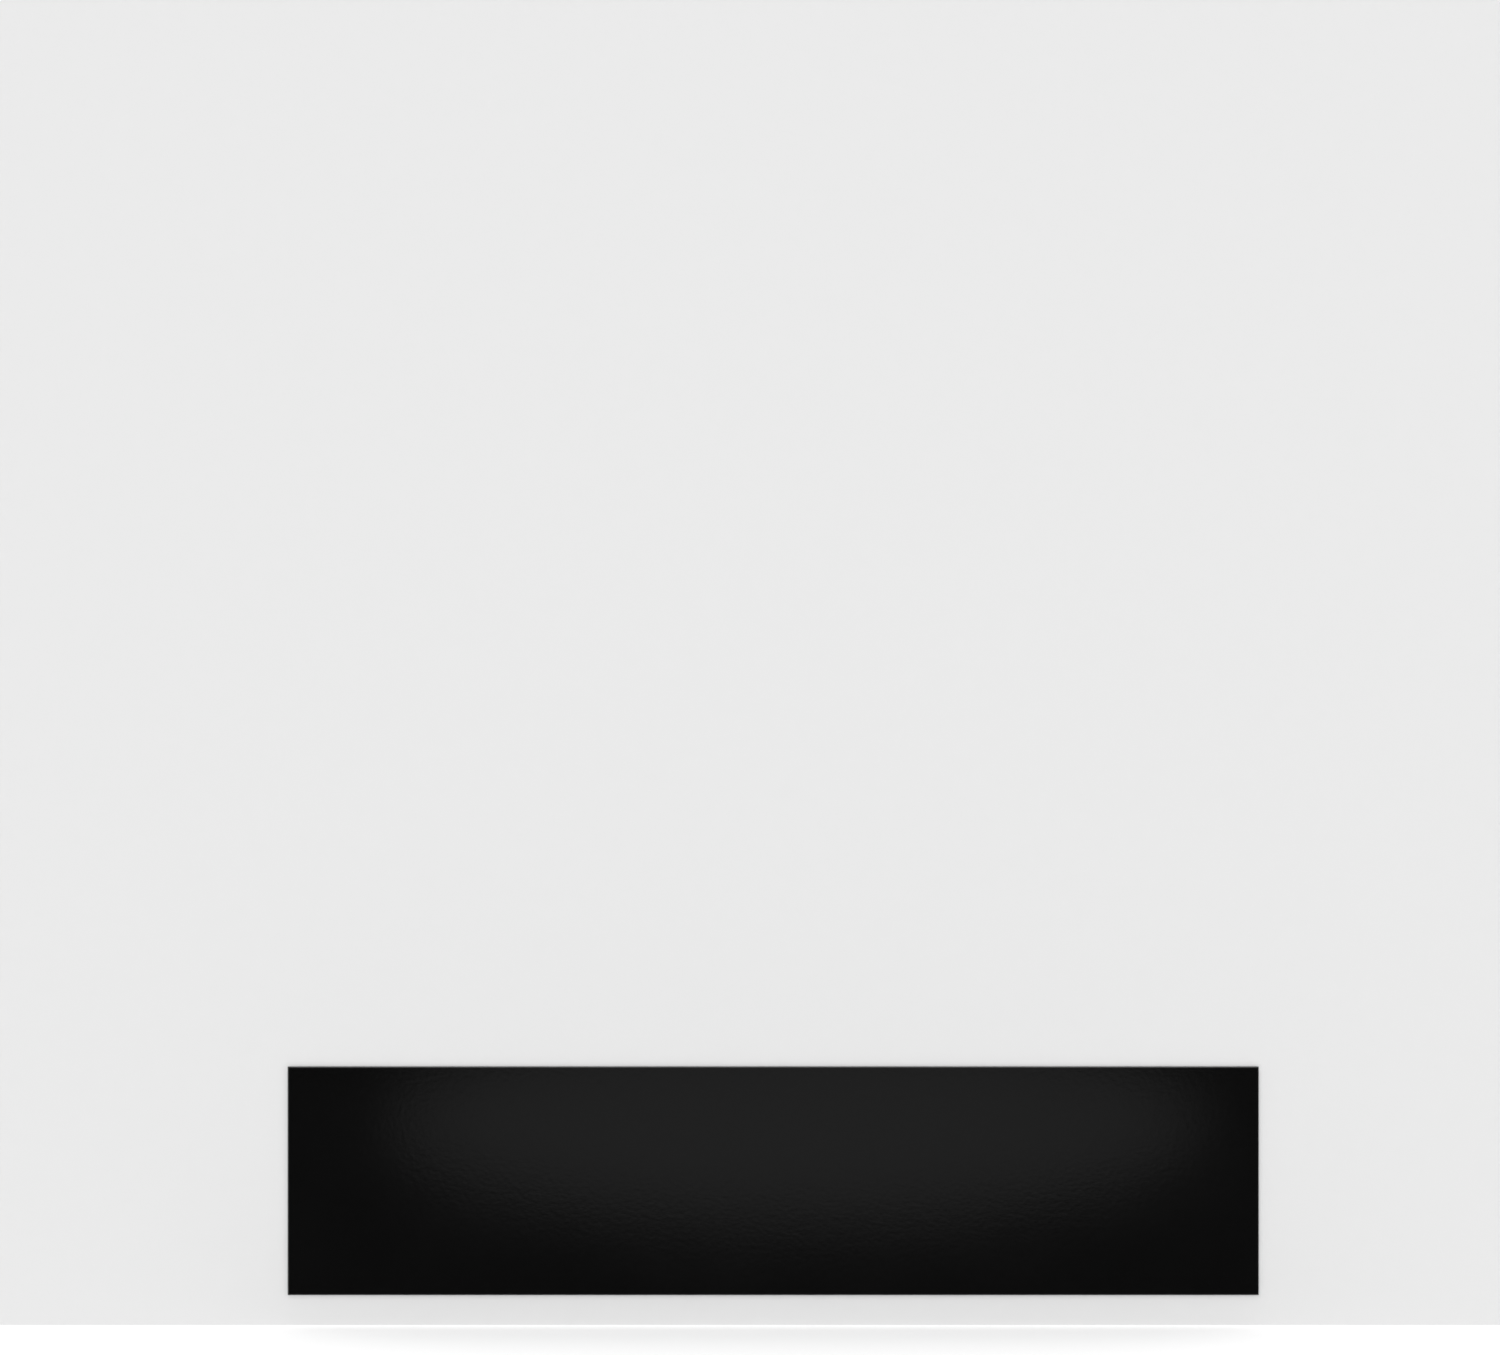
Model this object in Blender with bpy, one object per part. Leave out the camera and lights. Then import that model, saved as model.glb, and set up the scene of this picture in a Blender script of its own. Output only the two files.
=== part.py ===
"""Peel-and-stick kick plate for the foot of a door.

A flat metal plate with bevelled front edges is bonded to the door by strips of foam tape:
a long strip along the top, another along the bottom, and upright strips between the two.

The origin is on the door's face, straight behind the middle of the plate. +X runs along
the plate, +Z is up, and the plate's front looks towards -Y. Sizes are in metres.
"""

import bmesh
import bpy

INCH = 0.0254

# Plate: a stock 34 in by 8 in size in 0.050 in sheet, with a 45 degree bevel in front.
PLATE_WIDTH = 34 * INCH
PLATE_HEIGHT = 8 * INCH
SHEET_THICKNESS = 0.050 * INCH
EDGE_BEVEL = 0.001

# Tape: 1 in wide foam. Its thickness sets how far the plate stands off the door.
TAPE_WIDTH = 1 * INCH
TAPE_THICKNESS = 0.0011
TAPE_MARGIN = 0.006
TAPE_BUTT_GAP = 0.001
UPRIGHT_TAPES = (
    "left_end_tape",
    "left_middle_tape",
    "centre_tape",
    "right_middle_tape",
    "right_end_tape",
)

# Solids that touch on the real part keep this much room between their faces.
CONTACT_GAP = 0.0003

# Finishes: linear colour, roughness and metallic value.
SATIN_BLACK_COAT = ((0.003, 0.003, 0.003), 0.2, 0.0)
BLACK_FOAM = ((0.014, 0.014, 0.0145), 0.6, 0.0)


def clear_scene():
    for old in list(bpy.data.objects):
        bpy.data.objects.remove(old, do_unlink=True)


def make_collection(name):
    collection = bpy.data.collections.new(name)
    bpy.context.scene.collection.children.link(collection)
    return collection


def make_material(name, finish):
    colour, roughness, metallic = finish
    material = bpy.data.materials.new(name)
    material.use_nodes = True
    shader = material.node_tree.nodes["Principled BSDF"]
    shader.inputs["Base Color"].default_value = (*colour, 1.0)
    shader.inputs["Roughness"].default_value = roughness
    shader.inputs["Metallic"].default_value = metallic
    return material


def block(width, depth, height):
    """A rectangular block centred on its own origin."""
    shape = bmesh.new()
    bmesh.ops.create_cube(shape, size=1.0)
    bmesh.ops.scale(shape, vec=(width, depth, height), verts=shape.verts)
    return shape


def bevel_front_edges(shape, width):
    """Cuts a flat 45 degree bevel along every edge round the front, which looks towards -Y."""
    front = [e for e in shape.edges if all(v.co.y < 0 for v in e.verts)]
    bmesh.ops.bevel(shape, geom=front, offset=width, segments=1, profile=0.5, affect="EDGES", material=-1)


def place(name, shape, finish, centre, door_face, collection):
    """Turns a shape into a named part, with a material of its own, fixed to the door's face."""
    mesh = bpy.data.meshes.new(name)
    shape.to_mesh(mesh)
    shape.free()
    mesh.materials.append(make_material(name, finish))
    part = bpy.data.objects.new(name, mesh)
    part.location = centre
    part.parent = door_face
    collection.objects.link(part)


def make_face_plate(door_face, collection):
    """The sheet itself, standing off the door by the thickness of the tape."""
    shape = block(PLATE_WIDTH, SHEET_THICKNESS, PLATE_HEIGHT)
    bevel_front_edges(shape, EDGE_BEVEL)
    centre = (0, -(TAPE_THICKNESS + SHEET_THICKNESS / 2), 0)
    place("face_plate", shape, SATIN_BLACK_COAT, centre, door_face, collection)


def make_tape(name, width, height, x, z, door_face, collection):
    """A strip of tape stuck to the door's face, centred at x and z."""
    depth = TAPE_THICKNESS - CONTACT_GAP
    shape = block(width, depth, height)
    place(name, shape, BLACK_FOAM, (x, -depth / 2, z), door_face, collection)


def make_long_tapes(door_face, collection):
    """The strips along the plate's top and bottom edges, set in from them by the margin."""
    length = PLATE_WIDTH - 2 * TAPE_MARGIN
    z = PLATE_HEIGHT / 2 - TAPE_MARGIN - TAPE_WIDTH / 2
    make_tape("top_tape", length, TAPE_WIDTH, 0, z, door_face, collection)
    make_tape("bottom_tape", length, TAPE_WIDTH, 0, -z, door_face, collection)


def make_upright_tapes(door_face, collection):
    """Evenly spaced strips that fill the height between the two long ones."""
    height = PLATE_HEIGHT - 2 * (TAPE_MARGIN + TAPE_WIDTH + TAPE_BUTT_GAP)
    first = -(PLATE_WIDTH / 2 - TAPE_MARGIN - TAPE_WIDTH / 2)
    pitch = -2 * first / (len(UPRIGHT_TAPES) - 1)
    for i, name in enumerate(UPRIGHT_TAPES):
        make_tape(name, TAPE_WIDTH, height, first + i * pitch, 0, door_face, collection)


def make_kick_plate():
    collection = make_collection("kick_plate")
    door_face = bpy.data.objects.new("door_face", None)
    collection.objects.link(door_face)
    make_face_plate(door_face, collection)
    make_long_tapes(door_face, collection)
    make_upright_tapes(door_face, collection)


clear_scene()
make_kick_plate()
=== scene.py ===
import math

import bmesh
import bpy
from mathutils import Matrix, Vector, noise


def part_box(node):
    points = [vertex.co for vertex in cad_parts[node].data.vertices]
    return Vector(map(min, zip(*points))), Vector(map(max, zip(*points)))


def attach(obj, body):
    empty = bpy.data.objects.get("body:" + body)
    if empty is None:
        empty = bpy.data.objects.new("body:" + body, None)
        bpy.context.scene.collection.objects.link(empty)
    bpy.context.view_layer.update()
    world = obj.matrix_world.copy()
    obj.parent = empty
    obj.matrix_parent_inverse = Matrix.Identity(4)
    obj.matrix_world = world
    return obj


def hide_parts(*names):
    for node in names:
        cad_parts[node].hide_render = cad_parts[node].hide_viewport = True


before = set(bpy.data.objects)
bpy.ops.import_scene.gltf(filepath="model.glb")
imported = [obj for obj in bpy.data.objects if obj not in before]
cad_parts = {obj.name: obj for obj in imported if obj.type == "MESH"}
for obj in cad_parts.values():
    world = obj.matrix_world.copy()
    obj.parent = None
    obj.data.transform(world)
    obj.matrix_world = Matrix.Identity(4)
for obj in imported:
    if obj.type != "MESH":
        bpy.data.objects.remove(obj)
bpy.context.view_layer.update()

# ---------------------------------------------------------------------------
# The sheet: 0.050 in stainless steel, sheared to size, its four front edges planed to a 45
# degree bevel. It is powder coated satin black in front and on the edges, and the back
# stays bare, but for the powder that drifts round the rim.
# ---------------------------------------------------------------------------
sheet_low, sheet_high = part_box("face_plate")
sheet_size = sheet_high - sheet_low
sheet_middle = (sheet_low + sheet_high) / 2
bevel_width = 0.001
coated_arris = 0.00013
full_film_dark = (0.0026, 0.0026, 0.0026)
full_film_pale = (0.0034, 0.0034, 0.0034)
coat_roughness = (0.19, 0.215)
peel_size = 0.0035
peel_depth = 0.00009
tooth_size = 0.0004
tooth_depth = 0.000008
thin_film_reach = 0.0005
thin_film_colour = (0.011, 0.011, 0.011)
thin_film_dulling = 0.12
steel_dull = (0.43, 0.425, 0.415)
steel_bright = (0.64, 0.635, 0.62)
steel_roughness = (0.31, 0.37)
grain_size = 0.0006
grain_depth = 0.000006
band_size = 0.009
overspray_black = (0.004, 0.004, 0.004)
overspray_dot = 0.0003
dot_softness = 0.03
overspray_reach = 0.010


def block(size, middle):
    """A rectangular block of the given size, centred on middle."""
    shape = bmesh.new()
    bmesh.ops.create_cube(shape, size=1.0)
    bmesh.ops.scale(shape, vec=size, verts=shape.verts)
    bmesh.ops.translate(shape, vec=middle, verts=shape.verts)
    return shape


def bevel(shape, edges, width, segments):
    bmesh.ops.bevel(
        shape, geom=edges, offset=width, segments=segments, profile=0.5, affect="EDGES", material=-1
    )


def finished(name, shape, materials, choice=lambda face: 0):
    """The object made from a shape, whose shading turns only over its arrises.

    A face takes the material that choice gives, counted from 0.
    """
    shape.normal_update()
    normals = [max(v.link_faces, key=lambda face: face.calc_area()).normal.copy() for v in shape.verts]
    for face in shape.faces:
        face.smooth = True
        face.material_index = choice(face)
    mesh = bpy.data.meshes.new(name)
    shape.to_mesh(mesh)
    shape.free()
    mesh.normals_split_custom_set_from_vertices(normals)
    for material in materials:
        mesh.materials.append(material)
    made = bpy.data.objects.new(name, mesh)
    bpy.context.scene.collection.objects.link(made)
    return made


class Finish:
    """A material under construction: its shader, and the procedural fields that feed it."""

    def __init__(self, name):
        self.material = bpy.data.materials.new(name)
        self.material.use_nodes = True
        self.nodes = self.material.node_tree.nodes
        self.shader = self.nodes["Principled BSDF"]
        self.place = self.node("ShaderNodeTexCoord").outputs["Object"]

    def node(self, kind, **settings):
        made = self.nodes.new(kind)
        for setting, value in settings.items():
            setattr(made, setting, value)
        return made

    def feed(self, socket, value):
        """Links an output to a socket, or sets the socket to a number or a colour."""
        if isinstance(value, bpy.types.NodeSocket):
            self.material.node_tree.links.new(value, socket)
        else:
            socket.default_value = (*value, 1.0) if isinstance(value, tuple) else value

    def noise(self, size, detail=2.0, stretched=(1.0, 1.0, 1.0)):
        """Noise whose features are about size metres across, longer along an axis stretched over 1."""
        field = self.node("ShaderNodeTexNoise")
        mapping = self.node("ShaderNodeMapping")
        mapping.inputs["Scale"].default_value = [1.0 / s for s in stretched]
        self.feed(mapping.inputs["Vector"], self.place)
        self.feed(field.inputs["Vector"], mapping.outputs["Vector"])
        self.feed(field.inputs["Scale"], 1.0 / size)
        self.feed(field.inputs["Detail"], detail)
        return field.outputs["Fac"]

    def remap(self, value, low, high, to_low, to_high):
        """The range from low to high stretched to another, and held beyond its ends."""
        change = self.node("ShaderNodeMapRange")
        for socket, number in zip(change.inputs, (value, low, high, to_low, to_high)):
            self.feed(socket, number)
        return change.outputs["Result"]

    def math(self, operation, a, b=0.0):
        made = self.node("ShaderNodeMath", operation=operation)
        self.feed(made.inputs[0], a)
        self.feed(made.inputs[1], b)
        return made.outputs[0]

    def mix(self, share, first, second):
        """Between two others, by share: each is a colour or a field."""
        blend = self.node("ShaderNodeMix", data_type="RGBA")
        sockets = (blend.inputs[0], blend.inputs[6], blend.inputs[7])
        for socket, value in zip(sockets, (share, first, second)):
            self.feed(socket, value)
        return blend.outputs[2]

    def relief(self, *layers):
        """Bumps on the shader, one on the other, each a height field and its depth in metres."""
        normal = None
        for height, depth in layers:
            bump = self.node("ShaderNodeBump")
            self.feed(bump.inputs["Distance"], depth)
            self.feed(bump.inputs["Height"], height)
            if normal is not None:
                self.feed(bump.inputs["Normal"], normal)
            normal = bump.outputs["Normal"]
        self.feed(self.shader.inputs["Normal"], normal)


def rim_distance(finish):
    """How far a point of the sheet lies in from the nearest of its four edges, in metres."""
    axes = finish.node("ShaderNodeSeparateXYZ")
    finish.feed(axes.inputs[0], finish.place)
    from_end = finish.math("SUBTRACT", sheet_size.x / 2, finish.math("ABSOLUTE", axes.outputs["X"]))
    from_side = finish.math("SUBTRACT", sheet_size.z / 2, finish.math("ABSOLUTE", axes.outputs["Z"]))
    return finish.math("MINIMUM", from_end, from_side)


def powder_coat():
    """Satin black powder with a fine orange peel, and a thinner film where the face meets the bevel."""
    coat = Finish("satin_black_powder_coat")
    drift = coat.noise(size=0.11, detail=3.0)
    from_arris = coat.math("ABSOLUTE", coat.math("SUBTRACT", rim_distance(coat), bevel_width))
    near_arris = coat.remap(from_arris, 0.0, thin_film_reach, 1.0, 0.0)
    thin = coat.math("MULTIPLY", near_arris, coat.noise(size=0.004, detail=3.0))
    full_film = coat.mix(drift, full_film_dark, full_film_pale)
    coat.feed(coat.shader.inputs["Base Color"], coat.mix(thin, full_film, thin_film_colour))
    full_film_roughness = coat.remap(drift, 0.3, 0.7, *coat_roughness)
    dulling = coat.math("MULTIPLY", thin, thin_film_dulling)
    coat.feed(coat.shader.inputs["Roughness"], coat.math("ADD", full_film_roughness, dulling))
    peel = coat.noise(peel_size, detail=1.5)
    tooth = coat.noise(tooth_size, detail=1.0)
    coat.relief((peel, peel_depth), (tooth, tooth_depth))
    return coat.material


def bare_back():
    """Mill-finished steel with its rolling grain along the sheet, and overspray round the rim."""
    steel = Finish("mill_steel_back")
    # A dot of powder lies where the noise is under the cover, which falls with the distance in.
    cover = steel.remap(rim_distance(steel), 0.0, overspray_reach, 0.72, 0.2)
    past_cover = steel.math("SUBTRACT", steel.noise(overspray_dot, detail=3.0), cover)
    speckle = steel.remap(past_cover, -dot_softness, dot_softness, 1.0, 0.0)
    grain = steel.noise(grain_size, detail=3.0, stretched=(60.0, 1.0, 1.0))
    bands = steel.noise(band_size, detail=2.0, stretched=(40.0, 1.0, 1.0))
    cloud = steel.noise(size=0.06, detail=3.0, stretched=(3.0, 1.0, 1.0))
    rolled = steel.mix(steel.mix(0.4, grain, bands), steel_dull, steel_bright)
    steel.feed(steel.shader.inputs["Base Color"], steel.mix(speckle, rolled, overspray_black))
    steel.feed(steel.shader.inputs["Metallic"], steel.math("SUBTRACT", 1.0, speckle))
    steel.feed(steel.shader.inputs["Roughness"], steel.remap(cloud, 0.3, 0.7, *steel_roughness))
    steel.relief((grain, grain_depth))
    return steel.material


sheet_shape = block(sheet_size, sheet_middle)
front_edges = [e for e in sheet_shape.edges if all(v.co.y < sheet_middle.y for v in e.verts)]
bevel(sheet_shape, front_edges, bevel_width, 1)
bevel(sheet_shape, list(sheet_shape.edges), coated_arris, 3)
sheet_finishes = [powder_coat(), bare_back()]
sheet = finished("coated_sheet", sheet_shape, sheet_finishes, lambda face: int(face.normal.y > 0.99))
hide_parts("face_plate")
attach(sheet, "root")

# ---------------------------------------------------------------------------
# The tapes: black acrylic foam with adhesive on both faces, cut from a 1 in roll and
# pressed on by hand. The foam swells a little at its cut sides, which aren't quite straight.
# ---------------------------------------------------------------------------
tape_names = [name for name in sorted(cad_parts) if name.endswith("_tape")]
station_pitch = 0.006
skin_edge = 0.00018
side_swell = 0.00022
side_wander = 0.0004
end_lean = 0.0009
skin_dark = (0.0065, 0.0065, 0.007)
skin_pale = (0.015, 0.015, 0.016)
skin_roughness = (0.27, 0.5)
ripple_size = 0.0045
ripple_depth = 0.0004
tack_size = 0.0006
tack_depth = 0.00003
foam_wall = (0.008, 0.008, 0.009)
foam_hollow = (0.026, 0.026, 0.028)
foam_roughness = 0.8
foam_cell_size = 0.00018
foam_cell_depth = 0.00004


def tape_skin():
    """The adhesive face: smooth and tacky, with the ripple and the patchy gloss that the liner leaves."""
    skin = Finish("tape_adhesive_skin")
    patch = skin.noise(size=0.016, detail=3.0)
    ripple = skin.noise(ripple_size, detail=1.0, stretched=(1.0, 1.0, 2.5))
    tack = skin.noise(tack_size, detail=2.0)
    skin.feed(skin.shader.inputs["Base Color"], skin.mix(patch, skin_dark, skin_pale))
    skin.feed(skin.shader.inputs["Roughness"], skin.remap(patch, 0.35, 0.65, *skin_roughness))
    skin.relief((ripple, ripple_depth), (tack, tack_depth))
    return skin.material


def foam_side():
    """The cut side of the foam: matt, with its small closed cells showing."""
    cut = Finish("cut_foam")
    cells = cut.node("ShaderNodeTexVoronoi")
    cut.feed(cells.inputs["Vector"], cut.place)
    cut.feed(cells.inputs["Scale"], 1.0 / foam_cell_size)
    hollow = cut.remap(cells.outputs["Distance"], 0.1, 0.6, 0.0, 1.0)
    cut.feed(cut.shader.inputs["Base Color"], cut.mix(hollow, foam_wall, foam_hollow))
    cut.feed(cut.shader.inputs["Roughness"], foam_roughness)
    cut.relief((hollow, foam_cell_depth))
    return cut.material


def cut_across(shape, axis, start, stop, pitch):
    """Evenly spaced cuts across a shape, between start and stop along an axis."""
    cuts = max(2, round((stop - start) / pitch))
    normal = Vector([float(i == axis) for i in range(3)])
    for i in range(1, cuts):
        whole = list(shape.verts) + list(shape.edges) + list(shape.faces)
        cut_at = normal * (start + (stop - start) * i / cuts)
        bmesh.ops.bisect_plane(shape, geom=whole, plane_co=cut_at, plane_no=normal, dist=1e-7)


def foam_strip(low, high):
    """A strip inside its box, with rounded skins, sides that swell and wander, and leaning ends."""
    middle = (low + high) / 2
    along, across = (0, 2) if high.x - low.x > high.z - low.z else (2, 0)
    shape = block(high - low, middle)
    bevel(shape, list(shape.edges), skin_edge, 2)
    cut_across(shape, along, low[along] + skin_edge, high[along] - skin_edge, station_pitch)
    cut_across(shape, 1, low.y, high.y, (high.y - low.y) / 2)
    half_length = (high[along] - low[along]) / 2
    half_width = (high[across] - low[across]) / 2
    for vertex in shape.verts:
        # The strip's own place and flank pick its part of the noise, so no two sides are alike.
        run = vertex.co[along] - middle[along]
        side = (vertex.co[across] - middle[across]) / half_width
        flank = math.copysign(1.0, side)
        drift = noise.noise(Vector((run * 14.0 + flank * 7.3, middle.x * 31.0, middle.z * 17.0)))
        edge_depth = abs(vertex.co.y - middle.y) / (high.y - middle.y)
        vertex.co[across] -= side * (side_swell * edge_depth + side_wander * max(0.0, 0.5 + drift))
        if abs(run) > half_length - 2 * skin_edge:
            lean = noise.noise(Vector((middle.x * 23.0, middle.z * 41.0, math.copysign(3.0, run))))
            vertex.co[along] -= math.copysign(end_lean, run) * max(0.0, 0.5 + lean * side)
    return shape


tape_finishes = [tape_skin(), foam_side()]
for name in tape_names:
    low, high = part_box(name)
    low.y = sheet_high.y
    strip = finished(
        "foam_" + name, foam_strip(low, high), tape_finishes, lambda face: int(abs(face.normal.y) <= 0.8)
    )
    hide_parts(name)
    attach(strip, "root")

# ---------------------------------------------------------------------------
# The studio: a pale floor under the plate and a pale wall just behind the tapes. Each is
# seen from its front side only, is never mirrored, and casts no shadow.
# ---------------------------------------------------------------------------
floor_drop = 0.027
wall_gap = 0.0002
stage_reach = 30.0
floor_white = (0.92, 0.92, 0.92)
wall_white = (0.715, 0.715, 0.715)


def one_sided_paint(name, colour):
    """Matt paint on a surface's front, and nothing on its back."""
    paint = Finish(name)
    paint.feed(paint.shader.inputs["Base Color"], colour)
    paint.feed(paint.shader.inputs["Roughness"], 0.9)
    paint.feed(paint.shader.inputs["Specular IOR Level"], 0.0)
    either = paint.node("ShaderNodeMixShader")
    paint.feed(either.inputs[0], paint.node("ShaderNodeNewGeometry").outputs["Backfacing"])
    paint.feed(either.inputs[1], paint.shader.outputs[0])
    paint.feed(either.inputs[2], paint.node("ShaderNodeBsdfTransparent").outputs[0])
    paint.feed(paint.nodes["Material Output"].inputs["Surface"], either.outputs[0])
    return paint.material


def stage_plane(name, turn, place, colour):
    shape = bmesh.new()
    bmesh.ops.create_grid(shape, x_segments=1, y_segments=1, size=stage_reach)
    bmesh.ops.rotate(shape, matrix=turn, verts=shape.verts)
    bmesh.ops.translate(shape, vec=place, verts=shape.verts)
    plane = finished(name, shape, [one_sided_paint(name + "_paint", colour)])
    plane.visible_glossy = False
    plane.visible_shadow = False
    return plane


level = Matrix.Identity(3)
upright = Matrix.Rotation(math.radians(90), 3, "X")
stage_plane("floor", level, (0, 0, sheet_low.z - floor_drop), floor_white)
wall = stage_plane("wall", upright, (0, wall_gap, 0), wall_white)
wall.visible_diffuse = False

# ---------------------------------------------------------------------------
# The light: a white sky all round, a soft key from above and to the left, a sun overhead
# for the floor, and softboxes that are only seen mirrored in the coat, steel and tape.
# ---------------------------------------------------------------------------
sky = bpy.data.worlds.new("studio_air")
bpy.context.scene.world = sky
sky.use_nodes = True
sky.node_tree.nodes["Background"].inputs["Strength"].default_value = 1.0
sky.node_tree.nodes["Background"].inputs["Color"].default_value = (1.0, 1.0, 1.0, 1.0)
sky.cycles_visibility.glossy = False


def sun(name, direction, spread, energy):
    """Light from far off, soft by the angle that it comes from, and never mirrored."""
    lamp = bpy.data.lights.new(name, "SUN")
    lamp.energy = energy
    lamp.angle = math.radians(spread)
    holder = bpy.data.objects.new(name, lamp)
    holder.rotation_euler = Vector(direction).to_track_quat("-Z", "Y").to_euler()
    holder.visible_glossy = False
    bpy.context.scene.collection.objects.link(holder)


def softbox(name, size, place, brightness, towards=(0, 0, 0), shape="RECTANGLE"):
    """An area light that is only mirrored, at a brightness given as a share of white."""
    lamp = bpy.data.lights.new(name, "AREA")
    lamp.shape = shape
    lamp.size, lamp.size_y = size
    covered = size[0] * size[1] * (math.pi / 4 if shape == "ELLIPSE" else 1.0)
    lamp.energy = brightness * math.pi * covered
    holder = bpy.data.objects.new(name, lamp)
    holder.location = place
    holder.rotation_euler = (Vector(towards) - Vector(place)).to_track_quat("-Z", "Y").to_euler()
    holder.visible_camera = False
    holder.visible_diffuse = False
    bpy.context.scene.collection.objects.link(holder)


sun("key", direction=(0.35, 0.75, -0.95), spread=35, energy=0.45)
sun("overhead", direction=(0, 0, -1), spread=20, energy=0.45)

sheen_x = 0.0254
sheen_z = 0.003
softbox(
    "sheen", size=(0.81, 0.198), place=(sheen_x, sheet_low.y - 0.5, sheen_z), brightness=0.317,
    towards=(sheen_x, 0, sheen_z), shape="ELLIPSE"
)
softbox("top_strip", size=(2.4, 0.5), place=(0, -0.25, 1.3), brightness=2.2, towards=(0, -0.1, 0))
softbox("left_strip", size=(0.5, 1.0), place=(-1.6, 0.05, -0.15), brightness=1.6, towards=(-0.4, 0, -0.1))
softbox("under_panel", size=(2.4, 1.6), place=(0, 0, -1.3), brightness=0.15)
softbox("low_front_panel", size=(2.2, 0.9), place=(0, -1.1, -1.15), brightness=0.35)
softbox("low_back_panel", size=(2.8, 1.0), place=(0, 1.2, -1.2), brightness=0.4)
softbox("back_wash", size=(7.0, 3.0), place=(0, 2.8, -0.4), brightness=0.3, towards=(0, 0, -0.4))
softbox("back_panel", size=(0.7, 1.3), place=(0.1, 2.0, -0.35), brightness=0.7)
for side_name, x in (("left", -1.0), ("right", 1.0)):
    softbox(side_name + "_front_panel", size=(0.8, 1.6), place=(1.25 * x, -1.3, -0.55), brightness=0.38)
    softbox(side_name + "_wing", size=(0.9, 1.8), place=(1.85 * x, -0.85, -0.45), brightness=0.18)
    softbox(side_name + "_back_panel", size=(0.7, 1.3), place=(1.4 * x, 1.4, -0.5), brightness=0.75)

# ---------------------------------------------------------------------------
# The camera: 4 m off with a long lens, level and square to the plate. It stands higher than
# the plate and a little to its left, so the plate sits low in the frame.
# ---------------------------------------------------------------------------
camera_distance = 4.0
camera_left = 0.0206
camera_rise = 0.4476
seen_width = 1.3338
camera = bpy.data.objects.new("camera", bpy.data.cameras.new("camera"))
camera.data.sensor_width = 36.0
camera.data.lens = camera.data.sensor_width * camera_distance / seen_width
camera.location = (-camera_left, sheet_low.y - camera_distance, camera_rise)
camera.rotation_euler = (math.radians(90), 0, 0)
bpy.context.scene.collection.objects.link(camera)
bpy.context.scene.camera = camera
bpy.context.scene.view_settings.view_transform = "Standard"
